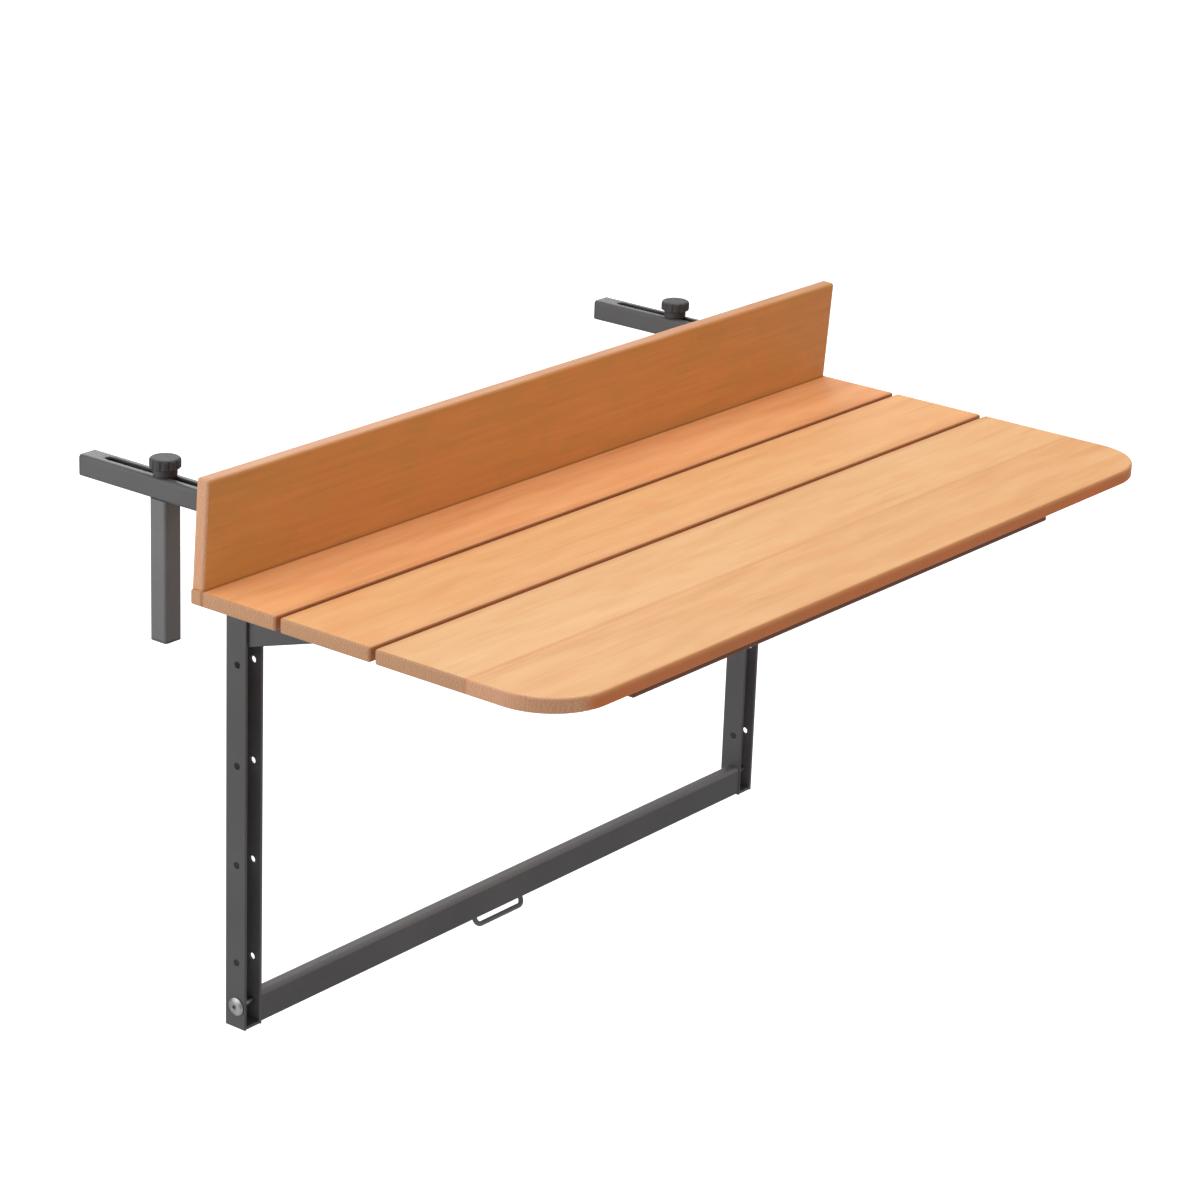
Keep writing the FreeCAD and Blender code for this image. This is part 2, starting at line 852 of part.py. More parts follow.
def hexagon(sketch, flat):
    """A regular hexagon about the origin, given by half its width across the flats."""
    corner = flat / math.cos(math.pi / 6)
    angles = [number * math.pi / 3 for number in range(6)]
    outline(sketch, [(corner * math.cos(angle), corner * math.sin(angle)) for angle in angles])


def dome_bolt(name, length):
    """A dome-head bolt with a hexagon socket, whose head sits on the plane Z 0 and points up."""
    body = new_body(name)
    profile = new_sketch(body, "XZ_Plane", "profile")
    head = size("bolt_head_radius")
    high = size("bolt_head_height")
    outline(
        profile,
        [
            (0, -length),
            (size("bolt_radius"), -length),
            (size("bolt_radius"), 0),
            (head, 0),
            (head, size("bolt_rim_height")),
            (size("bolt_shoulder_radius"), size("bolt_shoulder_height")),
            (size("bolt_crown_radius"), high),
            (0, high),
        ],
    )
    revolve(body, profile)
    socket = new_sketch(body, "XY_Plane", "socket", offset=high)
    hexagon(socket, size("bolt_socket_flat"))
    pocket(body, socket, size("bolt_socket_depth"))
    return body


def hex_nut(name):
    """A hexagon nut below the plane Z 0, with a plain bore in place of its thread."""
    body = new_body(name)
    sketch = new_sketch(body, "XY_Plane", "section")
    hexagon(sketch, size("nut_flat"))
    circle(sketch, 0, 0, size("bolt_radius") + size("bolt_bore_clearance"))
    pad(body, sketch, size("nut_height"), backwards=True)
    return body


def frame_fasteners():
    """The crossbar's bolts, and the bolts and nuts on which the brackets hook."""
    outer = upright_x + size("channel_width") / 2
    inner = upright_x - size("channel_width") / 2
    turned = [(sign, sign * 90) for side, sign in SIDES]
    bar_bolt = dome_bolt("crossbar_bolt", size("channel_width") + size("bolt_plug_bite"))
    places = [(sign * outer, hole_line, bolt_height, turn) for sign, turn in turned]
    group("crossbar_bolts", bar_bolt, places)
    to_nut = size("channel_width") + size("nut_height") + size("bolt_past_nut")
    hook_bolt = dome_bolt("hook_bolt", to_nut)
    places = [(sign * outer, hole_line, top_hole, turn) for sign, turn in turned]
    group("hook_bolts", hook_bolt, places)
    nut = hex_nut("hook_nut")
    places = [(sign * inner, hole_line, top_hole, turn) for sign, turn in turned]
    group("hook_nuts", nut, places)


def tie_down_loop():
    """The bent wire under the crossbar, tilted towards the user, its feet cut level."""
    body = new_body("tie_down_loop")
    half = size("loop_width") / 2
    drop = size("loop_drop")
    overlap = size("loop_wire_radius") * 2
    path = new_sketch(body, "XZ_Plane", "path")
    corners = [(-half, overlap), (-half, -drop), (half, -drop), (half, overlap)]
    wire_path(path, corners, size("loop_bend_radius"))
    ring = new_sketch(body, "XY_Plane", "wire", offset=overlap)
    circle(ring, -half, 0, size("loop_wire_radius"))
    pipe = body.newObject("PartDesign::AdditivePipe", "loop_pipe")
    pipe.Profile = ring
    pipe.Spine = path
    doc.recompute()
    level = new_sketch(body, "YZ_Plane", "level", turn=("loop_tilt", Vector(0, 0, 1)))
    reach = drop + 2 * half
    rectangle(level, -reach, reach, 0, reach)
    pocket(body, level, both_ways=True)
    place(body, x=size("loop_offset"), y=crossbar_middle, z=crossbar_bottom)
    body.Placement.Rotation = Rotation(Vector(-1, 0, 0), SIZES["loop_tilt"])
    body.setExpression("Placement.Rotation.Angle", "Sizes.loop_tilt * 1 deg")
    return body


def wire_path(sketch, corners, bend):
    """An open path of three straight runs joined by two tangent arcs."""
    (x0, y_top), (_, y_low), (x1, _), _ = [(as_size(x), as_size(y)) for x, y in corners]
    b = bend.value
    up = Vector(0, 0, 1)
    left_leg = sketch.addGeometry(
        Part.LineSegment(Vector(x0.value, y_top.value, 0), Vector(x0.value, y_low.value + b, 0))
    )
    left_circle = Part.Circle(Vector(x0.value + b, y_low.value + b, 0), up, b)
    left_bend = sketch.addGeometry(Part.ArcOfCircle(left_circle, math.pi, 1.5 * math.pi))
    base = sketch.addGeometry(
        Part.LineSegment(
            Vector(x0.value + b, y_low.value, 0), Vector(x1.value - b, y_low.value, 0)
        )
    )
    right_circle = Part.Circle(Vector(x1.value - b, y_low.value + b, 0), up, b)
    right_bend = sketch.addGeometry(Part.ArcOfCircle(right_circle, 1.5 * math.pi, 2 * math.pi))
    right_leg = sketch.addGeometry(
        Part.LineSegment(Vector(x1.value, y_low.value + b, 0), Vector(x1.value, y_top.value, 0))
    )
    runs = (left_leg, left_bend, base, right_bend, right_leg)
    for first, second in zip(runs, runs[1:]):
        sketch.addConstraint(Sketcher.Constraint("Tangent", first, 2, second, 1))
    pin_point(sketch, left_leg, 1, x0, y_top)
    pin_point(sketch, right_leg, 2, x1, y_top)
    pin_point(sketch, left_bend, 3, x0 + bend, y_low + bend)
    pin_point(sketch, right_bend, 3, x1 - bend, y_low + bend)


# Hanger arms and clamps


def hanger_arm(side, sign):
    """A slotted tube that lies over the rail, welded to the upright's back."""
    body = new_body(f"{side}_hanger_arm")
    half = size("arm_width") / 2
    high = size("arm_height")
    wall = size("arm_wall")
    length = size("arm_length") - size("cap_thickness")
    section = new_sketch(body, "XZ_Plane", "section")
    rectangle(section, -half, half, 0, high)
    pad(body, section, length, backwards=True)
    round_edges(body, "outer_edges", size("arm_edge_round"), lambda edge: runs_along(edge, 1))
    bore = new_sketch(body, "XZ_Plane", "bore")
    rectangle(bore, -half + wall, half - wall, wall, high - wall)
    pocket(body, bore)
    slots = new_sketch(body, "XY_Plane", "slot")
    radius = size("slot_radius")
    near = size("slot_front_inset") + radius
    far = size("arm_length") - size("slot_rear_inset") - radius
    slot(slots, 0, near, far, radius)
    pocket(body, slots, both_ways=True)
    return place(body, x=sign * arm_x)


def tube_cap(name, wide, deep, wall, rounding):
    """A flat cap with a plug that fits inside a tube; the plug points to -Z from the flat face."""
    body = new_body(name)
    flange = new_sketch(body, "XY_Plane", "flange")
    rectangle(flange, -wide / 2, wide / 2, -deep / 2, deep / 2)
    pad(body, flange, size("cap_thickness"))
    round_edges(body, "corners", rounding, lambda edge: runs_along(edge, 2))
    shrink = wall + size("cap_clearance")
    plug = new_sketch(body, "XY_Plane", "plug")
    rectangle(plug, -wide / 2 + shrink, wide / 2 - shrink, -deep / 2 + shrink, deep / 2 - shrink)
    pad(body, plug, size("cap_plug_depth"), backwards=True)
    return body


def arm_end_cap(side, sign):
    """The cap that closes the arm's rear end."""
    name = f"{side}_arm_end_cap"
    body = tube_cap(
        name, size("arm_width"), size("arm_height"), size("arm_wall"), size("arm_edge_round")
    )
    body.Placement = FreeCAD.Placement(Vector(), Rotation(Vector(1, 0, 0), -90))
    body.setExpression("Placement.Base.x", (sign * arm_x).text)
    body.setExpression("Placement.Base.y", (size("arm_length") - size("cap_thickness")).text)
    body.setExpression("Placement.Base.z", (size("arm_height") / 2).text)
    nodes.append(body)
    return body


jaw_centre_y = size("jaw_gap_to_upright") + size("jaw_size") / 2
jaw_top = -size("slide_clearance")


def jaw(side, sign):
    """The square tube that hangs behind the rail."""
    body = new_body(f"{side}_jaw")
    half = size("jaw_size") / 2
    wall = size("jaw_wall")
    section = new_sketch(body, "XY_Plane", "section")
    rectangle(section, -half, half, -half, half)
    pad(body, section, size("jaw_length") - size("cap_thickness"), backwards=True)
    round_edges(body, "outer_edges", size("jaw_edge_round"), lambda edge: runs_along(edge, 2))
    bore = new_sketch(body, "XY_Plane", "bore")
    rectangle(bore, -half + wall, half - wall, -half + wall, half - wall)
    pocket(body, bore)
    return place(body, x=sign * arm_x, y=jaw_centre_y, z=jaw_top)


def jaw_insert(side, sign):
    """The threaded block in the jaw's top, with a tongue that keeps it straight in the slot."""
    body = new_body(f"{side}_jaw_insert")
    half = size("jaw_size") / 2 - size("jaw_wall") - size("cap_clearance")
    block = new_sketch(body, "XY_Plane", "block")
    rectangle(block, -half, half, -half, half)
    pad(body, block, size("insert_height"), backwards=True)
    tongue = new_sketch(body, "XY_Plane", "tongue")
    tongue_half = size("slot_radius") - size("slide_clearance")
    reach = size("tongue_length") / 2 - tongue_half
    slot(tongue, 0, -reach, reach, tongue_half)
    pad(body, tongue, size("tongue_rise") + size("slide_clearance"))
    bore = new_sketch(body, "XY_Plane", "bore")
    circle(bore, 0, 0, size("stud_radius") + size("stud_clearance"))
    pocket(body, bore, both_ways=True)
    return place(body, x=sign * arm_x, y=jaw_centre_y, z=jaw_top)


def jaw_foot_cap(side, sign):
    """The cap that closes the jaw's lower end."""
    name = f"{side}_jaw_foot_cap"
    body = tube_cap(
        name, size("jaw_size"), size("jaw_size"), size("jaw_wall"), size("jaw_edge_round")
    )
    body.Placement = FreeCAD.Placement(Vector(), Rotation(Vector(1, 0, 0), 180))
    body.setExpression("Placement.Base.x", (sign * arm_x).text)
    body.setExpression("Placement.Base.y", jaw_centre_y.text)
    bottom = jaw_top - size("jaw_length") + size("cap_thickness")
    body.setExpression("Placement.Base.z", bottom.text)
    nodes.append(body)
    return body


washer_bottom = size("arm_height") + size("slide_clearance") / 2
knob_bottom = washer_bottom + size("washer_thickness") + size("slide_clearance") / 2
knob_height = size("knob_hub_height") + size("knob_head_height")


def clamp_washer(side, sign):
    """The washer between knob and arm."""
    body = new_body(f"{side}_clamp_washer")
    sketch = new_sketch(body, "XY_Plane", "ring")
    circle(sketch, 0, 0, size("washer_radius"))
    circle(sketch, 0, 0, size("stud_radius") + size("washer_bore_clearance"))
    pad(body, sketch, size("washer_thickness"))
    return place(body, x=sign * arm_x, y=jaw_centre_y, z=washer_bottom)


def knob(side, sign):
    """The fluted hand knob, moulded round the stud's upper end."""
    body = new_body(f"{side}_knob")
    profile = new_sketch(body, "XZ_Plane", "profile")
    hub = size("knob_hub_radius")
    rim = size("knob_radius")
    hub_top = size("knob_hub_height")
    outline(
        profile,
        [
            (0, 0),
            (hub, 0),
            (hub, hub_top),
            (rim, hub_top + size("knob_undercut_height")),
            (rim, knob_height),
            (0, knob_height),
        ],
    )
    revolve(body, profile)
    top = knob_height.value
    round_edges(body, "top_edge", size("knob_edge_round"), lambda edge: lies_at(edge, 2, top))
    flute = new_sketch(body, "XY_Plane", "flute")
    centre = rim + size("knob_flute_radius") - size("knob_flute_depth")
    circle(flute, 0, centre, size("knob_flute_radius"))
    cut = pocket(body, flute, both_ways=True)
    pattern = body.newObject("PartDesign::PolarPattern", f"{side}_knob_flutes")
    pattern.Originals = [cut]
    pattern.Axis = (flute, ["N_Axis"])
    pattern.Angle = 360
    pattern.setExpression("Occurrences", "Sizes.knob_flutes")
    body.Tip = pattern
    bore = new_sketch(body, "XY_Plane", "stud_bore")
    circle(bore, 0, 0, size("stud_radius"))
    pocket(body, bore, knob_height - size("knob_stud_cover"), backwards=True)
    return place(body, x=sign * arm_x, y=jaw_centre_y, z=knob_bottom)


def clamp_stud(side, sign):
    """The stud that runs from the knob through both slots into the jaw's insert."""
    body = new_body(f"{side}_clamp_stud")
    sketch = new_sketch(body, "XY_Plane", "section")
    circle(sketch, 0, 0, size("stud_radius"))
    top_length = knob_height - size("knob_stud_cover")
    pad(body, sketch, top_length + size("stud_depth"))
    return place(body, x=sign * arm_x, y=jaw_centre_y, z=knob_bottom - size("stud_depth"))


def build():
    """Makes every sub-part."""
    board("rear_board", table_rear, rear_board_front)
    board("middle_board", middle_board_rear, middle_board_front)
    board("front_inner_board", front_board_rear, glue_line)
    board("front_outer_board", glue_line, table_front, rounded_front=True)
    backboard()
    front_batten()
    middle_cleat()
    screws()
    crossbar()
    frame_fasteners()
    tie_down_loop()
    for side, sign in SIDES:
        bracket(side, sign)
        upright(side, sign)
        foot_plate(side, sign)
        crossbar_plug(side, sign)
        hanger_arm(side, sign)
        arm_end_cap(side, sign)
        jaw(side, sign)
        jaw_insert(side, sign)
        jaw_foot_cap(side, sign)
        clamp_washer(side, sign)
        knob(side, sign)
        clamp_stud(side, sign)


def check_and_export():
    """Refuses a failed object or shape, then writes each sub-part to its own file."""
    doc.recompute()
    for item in doc.Objects:
        if "Invalid" in item.State or "Error" in item.State:
            raise RuntimeError(f"{item.Name} is in state {item.State}")
    for node in nodes:
        shape = node.Shape
        if shape.isNull() or not shape.isValid() or not shape.Solids:
            raise RuntimeError(f"{node.Label} has no valid shape")
    os.makedirs("parts", exist_ok=True)
    for node in nodes:
        node.Shape.exportStep(f"parts/{node.Label}.step")
        count = len(node.Shape.Solids)
        print(f"{node.Label}: {count} solid(s), {node.Shape.Volume / 1000:.2f} cm3")


build()
check_and_export()
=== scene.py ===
import json
import math

import bmesh
import bpy
from mathutils import Matrix, Vector


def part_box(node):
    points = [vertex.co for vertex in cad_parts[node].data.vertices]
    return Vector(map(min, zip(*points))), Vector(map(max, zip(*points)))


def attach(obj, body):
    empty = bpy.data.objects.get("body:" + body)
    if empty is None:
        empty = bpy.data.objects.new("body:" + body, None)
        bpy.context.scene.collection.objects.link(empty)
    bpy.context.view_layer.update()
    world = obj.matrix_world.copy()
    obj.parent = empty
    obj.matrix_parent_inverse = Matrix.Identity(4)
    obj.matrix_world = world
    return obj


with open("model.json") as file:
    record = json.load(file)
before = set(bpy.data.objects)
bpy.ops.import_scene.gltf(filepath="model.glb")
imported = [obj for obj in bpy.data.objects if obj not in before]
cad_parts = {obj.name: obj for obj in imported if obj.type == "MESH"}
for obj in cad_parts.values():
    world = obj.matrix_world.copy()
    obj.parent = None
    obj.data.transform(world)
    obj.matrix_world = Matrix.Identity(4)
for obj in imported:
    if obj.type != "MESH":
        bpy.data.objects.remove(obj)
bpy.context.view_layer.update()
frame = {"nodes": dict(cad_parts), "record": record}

# A bar table that hangs on a balcony railing, in metres. X runs along the table, -Y points to the
# person at it, +Z is up, and the origin is where the arms and the uprights meet the rail.

NODES = frame["nodes"]


def linear(red, green, blue):
    """An sRGB colour, 0 to 255, as linear RGBA."""

    def channel(value):
        value = value / 255
        return value / 12.92 if value <= 0.04045 else ((value + 0.055) / 1.055) ** 2.4

    return (channel(red), channel(green), channel(blue), 1.0)


# Materials

# The finished ones by name, since Blender may already hold one of that name from the frame
MATERIALS = {}


class Graph:
    """Short names for the nodes of one material."""

    def __init__(self, name):
        self.name = name
        self.material = bpy.data.materials.new(name)
        self.material.use_nodes = True
        self.tree = self.material.node_tree
        self.tree.nodes.clear()
        self.shader = self.new("BsdfPrincipled")
        self.new("OutputMaterial", Surface=self.shader.outputs[0])
        coordinates = self.new("TexCoord")
        self.place = coordinates.outputs["Object"]
        self.normal = coordinates.outputs["Normal"]

    def feed(self, socket, value):
        """Links a socket, or sets it to a plain value."""
        if isinstance(value, bpy.types.NodeSocket):
            self.tree.links.new(value, socket)
        else:
            socket.default_value = value

    def feed_named(self, node, values):
        for name, value in values.items():
            self.feed(node.inputs[name.replace("_", " ")], value)

    def new(self, kind, **values):
        """A node of a kind, with its sockets fed by name."""
        node = self.tree.nodes.new("ShaderNode" + kind)
        self.feed_named(node, values)
        return node

    def finish(self, **values):
        """Feeds the shader's own sockets and keeps the material under its name."""
        self.feed_named(self.shader, values)
        MATERIALS[self.name] = self.material

    def scaled(self, scale, shift=(0, 0, 0)):
        """Object coordinates times a scale for each axis."""
        return self.new("Mapping", Vector=self.place, Scale=scale, Location=shift).outputs[0]

    def even(self, per_metre, shift=(0, 0, 0)):
        """Object coordinates with the same number of features per metre along every axis."""
        return self.scaled((per_metre, per_metre, per_metre), shift)

    def noise(self, vector, detail, roughness=0.5, distortion=0.0):
        node = self.new(
            "TexNoise",
            Vector=vector,
            Scale=1.0,
            Detail=detail,
            Roughness=roughness,
            Distortion=distortion,
        )
        return node.outputs["Fac"]

    def rings(self, vector, scale, distortion):
        """Soft bands across Y, bent by noise."""
        node = self.new("TexWave", Vector=vector, Scale=scale, Distortion=distortion, Detail=2.0)
        node.bands_direction = "Y"
        return node.outputs["Fac"]

    def cells(self, vector):
        return self.new("TexVoronoi", Vector=vector, Scale=1.0).outputs["Distance"]

    def math(self, operation, first, second=0.0, third=0.0):
        node = self.new("Math")
        node.operation = operation
        for socket, value in zip(node.inputs, (first, second, third)):
            self.feed(socket, value)
        return node.outputs[0]

    def times(self, first, second):
        return self.math("MULTIPLY", first, second)

    def apart(self, value, other):
        """How far a value is from another."""
        return self.math("ABSOLUTE", self.math("SUBTRACT", value, other))

    def between(self, value, low, high):
        """0 at low, 1 at high, and smooth in between; low may be the larger."""
        node = self.new("MapRange", Value=value, From_Min=min(low, high), From_Max=max(low, high))
        node.interpolation_type = "SMOOTHSTEP"
        if low > high:
            self.feed_named(node, {"To Min": 1.0, "To Max": 0.0})
        return node.outputs["Result"]

    def axis(self, vector, name):
        return self.new("SeparateXYZ", Vector=vector).outputs[name]

    def along(self, name):
        """How squarely the surface faces along an axis, either way."""
        return self.math("ABSOLUTE", self.axis(self.normal, name))

    def mix(self, amount, first, second, blend="MIX"):
        """Blends two colours, or two normals."""
        node = self.new("Mix")
        node.data_type = "RGBA"
        node.blend_type = blend
        named = {socket.identifier: socket for socket in node.inputs}
        self.feed(named["Factor_Float"], amount)
        self.feed(named["A_Color"], first)
        self.feed(named["B_Color"], second)
        return [socket for socket in node.outputs if socket.identifier == "Result_Color"][0]

    def tint(self, colour, mask, share, target):
        """A colour that goes a share of the way to a target where the mask is 1."""
        return self.mix(self.times(mask, share), colour, target)

    def ramp(self, value, *stops):
        """A colour ramp from (position, colour) pairs."""
        node = self.new("ValToRGB")
        self.feed(node.inputs[0], value)
        elements = node.color_ramp.elements
        while len(elements) < len(stops):
            elements.new(0.5)
        for element, (position, colour) in zip(elements, stops):
            element.position = position
            element.color = colour
        return node.outputs[0]

    def bump(self, height, distance, normal=None):
        """Surface relief, as deep as distance in metres where height goes from 0 to 1."""
        node = self.new("Bump", Height=height, Strength=1.0, Distance=distance)
        if normal is not None:
            self.feed(node.inputs["Normal"], normal)
        return node.outputs[0]

    def soft_edges(self, radius):
        """A normal that rounds the sharp edges of pressed or sawn stock."""
        node = self.new("Bevel", Radius=radius)
        node.samples = 6
        return node.outputs[0]

    def true_normal(self):
        return self.new("NewGeometry").outputs["Normal"]

    def edge_mask(self, radius):
        """1 along sharp edges, for wear, from how far a rounded normal leaves the true one."""
        product = self.new("VectorMath")
        product.operation = "DOT_PRODUCT"
        self.feed(product.inputs[0], self.soft_edges(radius))
        self.feed(product.inputs[1], self.true_normal())
        return self.between(product.outputs["Value"], 0.995, 0.86)


# Marks on the wood, some of them painted shade and painted highlight: how far each goes towards
# its own colour, and how wide it is in metres

PORE_SHARE = 0.12
WISP_SHARE = 0.16
SIDE_SHADE_SHARE = 0.9
RIM_SHADE_SHARE = 0.28
RIM_SHADE_WIDTH = 0.011
RIM_SHADE_CORE = 0.001
GLUE_SHARE = 0.24
GLUE_WIDTH = 0.0045
FLAT_WIDTH = 0.006
FLAT_CORE = 0.004
CONTACT_SHADOW_SHARE = 0.9
CONTACT_SHADOW_WIDTH = 0.003
LIT_CREST_SHARE = 0.4
LIT_CREST_DEPTH = 0.0055
LIT_CREST_CORE = 0.001
WOOD_WEAR_SHARE = 0.14
WOOD_WEAR_RADIUS = 0.0016
WOOD_ROUNDING = 0.0026
WOOD_RELIEF = 0.00006
OLIVE = (0.92, 0.99, 0.92, 1)


def wood(
    name,
    face,
    ends,
    side_shade,
    seed,
    along="X",
    shaded_rims=(),
    glue_line=None,
    lit_crest=None,
    contact=None,
):
    """Oiled hardwood with soft streaks, short pores, pale end grain and long edges in painted
    shade.

    face has the light, middle and dark tones of the face, ends the light and dark tones of the end
    grain, and side_shade the tone of the faces across the board: painted shade on the long edges
    of the flat boards, and the backboard's own front and back colour. shaded_rims are the places
    across the board where its face darkens towards an edge, as painted shade. lit_crest is the
    height of the face, below which the long edges go from a painted highlight to the painted
    shade.
    contact is the place across the board where another board stands on it, along which a
    painted shadow line runs.
    """
    g = Graph(name)
    shift = (seed * 1.37, seed * 0.61, seed * 0.29)
    light, middle, dark = face
    end_light, end_dark = ends
    warm = (middle[0], middle[1] * 0.9, middle[2] * 0.86, 1)
    deep = tuple(value * 0.5 for value in dark[:3]) + (1,)

    def stretched(length, width):
        """Coordinates stretched along the grain, from the number of features per metre."""
        return g.scaled({"X": (length, width, width), "Y": (width, length, width)}[along], shift)

    across = {"X": "Y", "Y": "X"}[along]
    cloud = g.noise(stretched(5.0, 24), detail=3.0, roughness=0.55, distortion=0.8)
    streak = g.noise(stretched(9, 210), detail=3.0, roughness=0.55, distortion=0.2)
    figure = g.rings(stretched(0.8, 1.0), scale=10.0, distortion=6.0)
    tone = g.math("MULTIPLY_ADD", cloud, 0.46, g.times(streak, 0.44))
    tone = g.math("MULTIPLY_ADD", figure, 0.1, tone)
    colour = g.ramp(tone, (0.28, dark), (0.49, middle), (0.72, light))
    blush = g.noise(stretched(14, 60), detail=2.0, distortion=0.3)
    colour = g.mix(g.between(blush, 0.5, 0.8), colour, warm)
    pores = g.between(g.noise(stretched(110, 1500), detail=2.0, roughness=0.6), 0.6, 0.72)
    wisps = g.between(g.noise(stretched(16, 420), detail=1.0, roughness=0.4), 0.68, 0.8)
    colour = g.tint(colour, pores, PORE_SHARE, deep)
    colour = g.tint(colour, wisps, WISP_SHARE, deep)

    place = g.axis(g.place, across)
    # Painted shade: the face darkens towards its long edges, between the boards.
    for shaded_rim in shaded_rims:
        near_shade = g.between(g.apart(place, shaded_rim), RIM_SHADE_WIDTH, RIM_SHADE_CORE)
        colour = g.tint(colour, near_shade, RIM_SHADE_SHARE, side_shade)

    mottle = g.noise(stretched(18, 34), detail=3.0, roughness=0.6, distortion=0.8)
    # Painted shade: the long edges of the flat boards take a darker, redder tone than the face; on
    # the backboard this tone is the colour of its front and back.
    side_shade_colour = g.mix(g.math("MULTIPLY_ADD", streak, 0.5, 0.55), deep, side_shade)
    side_shade_colour = g.mix(g.between(mottle, 0.42, 0.62), side_shade_colour, OLIVE, "MULTIPLY")
    # Painted highlight: the long edges go lighter towards the top of the face, as a lit rounding
    # would.
    if lit_crest is not None:
        crest_highlight = g.between(g.axis(g.place, "Z"), lit_crest - LIT_CREST_DEPTH, lit_crest - LIT_CREST_CORE)
        side_shade_colour = g.tint(side_shade_colour, crest_highlight, LIT_CREST_SHARE, middle)
    is_shaded_side = g.between(g.along(across), 0.35, 0.9)
    colour = g.tint(colour, is_shaded_side, SIDE_SHADE_SHARE, side_shade_colour)

    speckle = g.noise(g.even(700, shift), detail=3.0, roughness=0.6)
    end_rings = g.rings(g.scaled((1, 1, 3.0), shift), scale=110.0, distortion=9.0)
    end_tone = g.math("MULTIPLY_ADD", end_rings, 0.3, g.times(speckle, 0.6))
    end_colour = g.ramp(end_tone, (0.2, end_dark), (0.7, end_light))
    is_end = g.between(g.along(along), 0.15, 0.5)
    colour = g.mix(is_end, colour, end_colour)

    wear = g.edge_mask(WOOD_WEAR_RADIUS)
    rounded = g.soft_edges(WOOD_ROUNDING)
    if glue_line is not None:
        offset = g.apart(place, glue_line)
        colour = g.tint(colour, g.between(offset, GLUE_WIDTH, 0.0), GLUE_SHARE, side_shade)
        glued = g.between(offset, FLAT_WIDTH, FLAT_CORE)
        wear = g.times(wear, g.math("SUBTRACT", 1.0, glued))
        rounded = g.mix(glued, rounded, g.true_normal())
    # Painted shadow: a dark line along the place where another board stands on this one.
    if contact is not None:
        near_shade = g.between(g.apart(place, contact), CONTACT_SHADOW_WIDTH, 0.0)
        colour = g.tint(colour, near_shade, CONTACT_SHADOW_SHARE, deep)
    colour = g.tint(colour, wear, WOOD_WEAR_SHARE, light)
    relief = g.math("MULTIPLY_ADD", pores, -0.6, g.times(streak, 0.5))
    relief = g.math("MULTIPLY_ADD", g.times(speckle, is_end), 0.4, relief)
    g.finish(
        Base_Color=colour,
        Roughness=g.math("MULTIPLY_ADD", streak, 0.2, 0.42),
        Normal=g.bump(relief, WOOD_RELIEF, rounded),
        Specular_IOR_Level=0.35,
        Coat_Weight=0.05,
        Coat_Roughness=0.35,
    )


GLINT_SHARE = 0.14
RUB_SHARE = 0.35
RUB_GREY = linear(128, 128, 130)
LIT_HOLLOW_SHARE = 0.7
LIT_HOLLOW_GREY = linear(124, 122, 124)
LIT_CREST_GREY = linear(150, 149, 150)
COAT_WEAR_RADIUS = 0.0009
COAT_ROUNDING = 0.0018
COAT_RELIEF = 0.00007


def powder_coat(name, coat, roughness, lit_crest=0.0, lit_hollow=None):
    """Satin powder coat: a fine orange-peel skin, faint mottling and slightly rubbed edges.

    lit_crest is the share of painted light on the roundings that face up and to the front.
    lit_hollow is the span of a channel's recess from the middle of the table, where the coat is
    paler, as painted light.
    """
    g = Graph(name)
    base, lift = coat
    glint = tuple(value * 2.2 for value in lift[:3]) + (1,)
    peel = g.noise(g.even(900), detail=2.0)
    grit = g.cells(g.even(2400))
    mottle = g.noise(g.even(9), detail=3.0)
    colour = g.ramp(mottle, (0.3, base), (0.7, lift))
    colour = g.tint(colour, g.between(grit, 0.22, 0.05), GLINT_SHARE, glint)
    rub = g.noise(g.even(60), detail=3.0, roughness=0.6)
    worn = g.times(g.edge_mask(COAT_WEAR_RADIUS), g.between(rub, 0.35, 0.75))
    colour = g.tint(colour, worn, RUB_SHARE, RUB_GREY)
    # Painted light: a paler coat in the channel's recess, where shade falls.
    if lit_hollow is not None:
        nearest, farthest = lit_hollow
        away = g.math("ABSOLUTE", g.axis(g.place, "X"))
        lit_inside = g.math("GREATER_THAN", away, nearest)
        lit_inside = g.times(lit_inside, g.math("LESS_THAN", away, farthest))
        lit_inside = g.times(lit_inside, g.between(g.axis(g.place, "Y"), -0.0006, -0.0012))
        colour = g.tint(colour, lit_inside, LIT_HOLLOW_SHARE, LIT_HOLLOW_GREY)
    # Painted light: the roundings that face up and to the front are lighter.
    if lit_crest:
        up = g.math("MAXIMUM", g.axis(g.normal, "Z"), 0.0)
        front = g.math("MAXIMUM", g.times(g.axis(g.normal, "Y"), -1.0), 0.0)
        lit_facing = g.between(g.times(up, front), 0.0, 0.45)
        colour = g.tint(colour, lit_facing, lit_crest, LIT_CREST_GREY)
    skin = g.math("MULTIPLY_ADD", grit, 0.25, peel)
    g.finish(
        Base_Color=colour,
        Roughness=g.math("MULTIPLY_ADD", mottle, 0.12, roughness - 0.06),
        Normal=g.bump(skin, COAT_RELIEF, g.soft_edges(COAT_ROUNDING)),
        Specular_IOR_Level=0.4,
    )


ZINC_ROUNDING = 0.0004
ZINC_RELIEF = 0.00003


def zinc_plate(name):
    """Zinc with fine turning marks and a faint passivated film."""
    g = Graph(name)
    turning = g.noise(g.even(500), detail=3.0, roughness=0.55)
    film = g.noise(g.even(70), detail=2.0)
    g.finish(
        Base_Color=g.ramp(film, (0.35, linear(142, 143, 145)), (0.65, linear(180, 180, 179))),
        Metallic=1.0,
        Roughness=g.math("MULTIPLY_ADD", turning, 0.2, 0.26),
        Normal=g.bump(turning, ZINC_RELIEF, g.soft_edges(ZINC_ROUNDING)),
    )


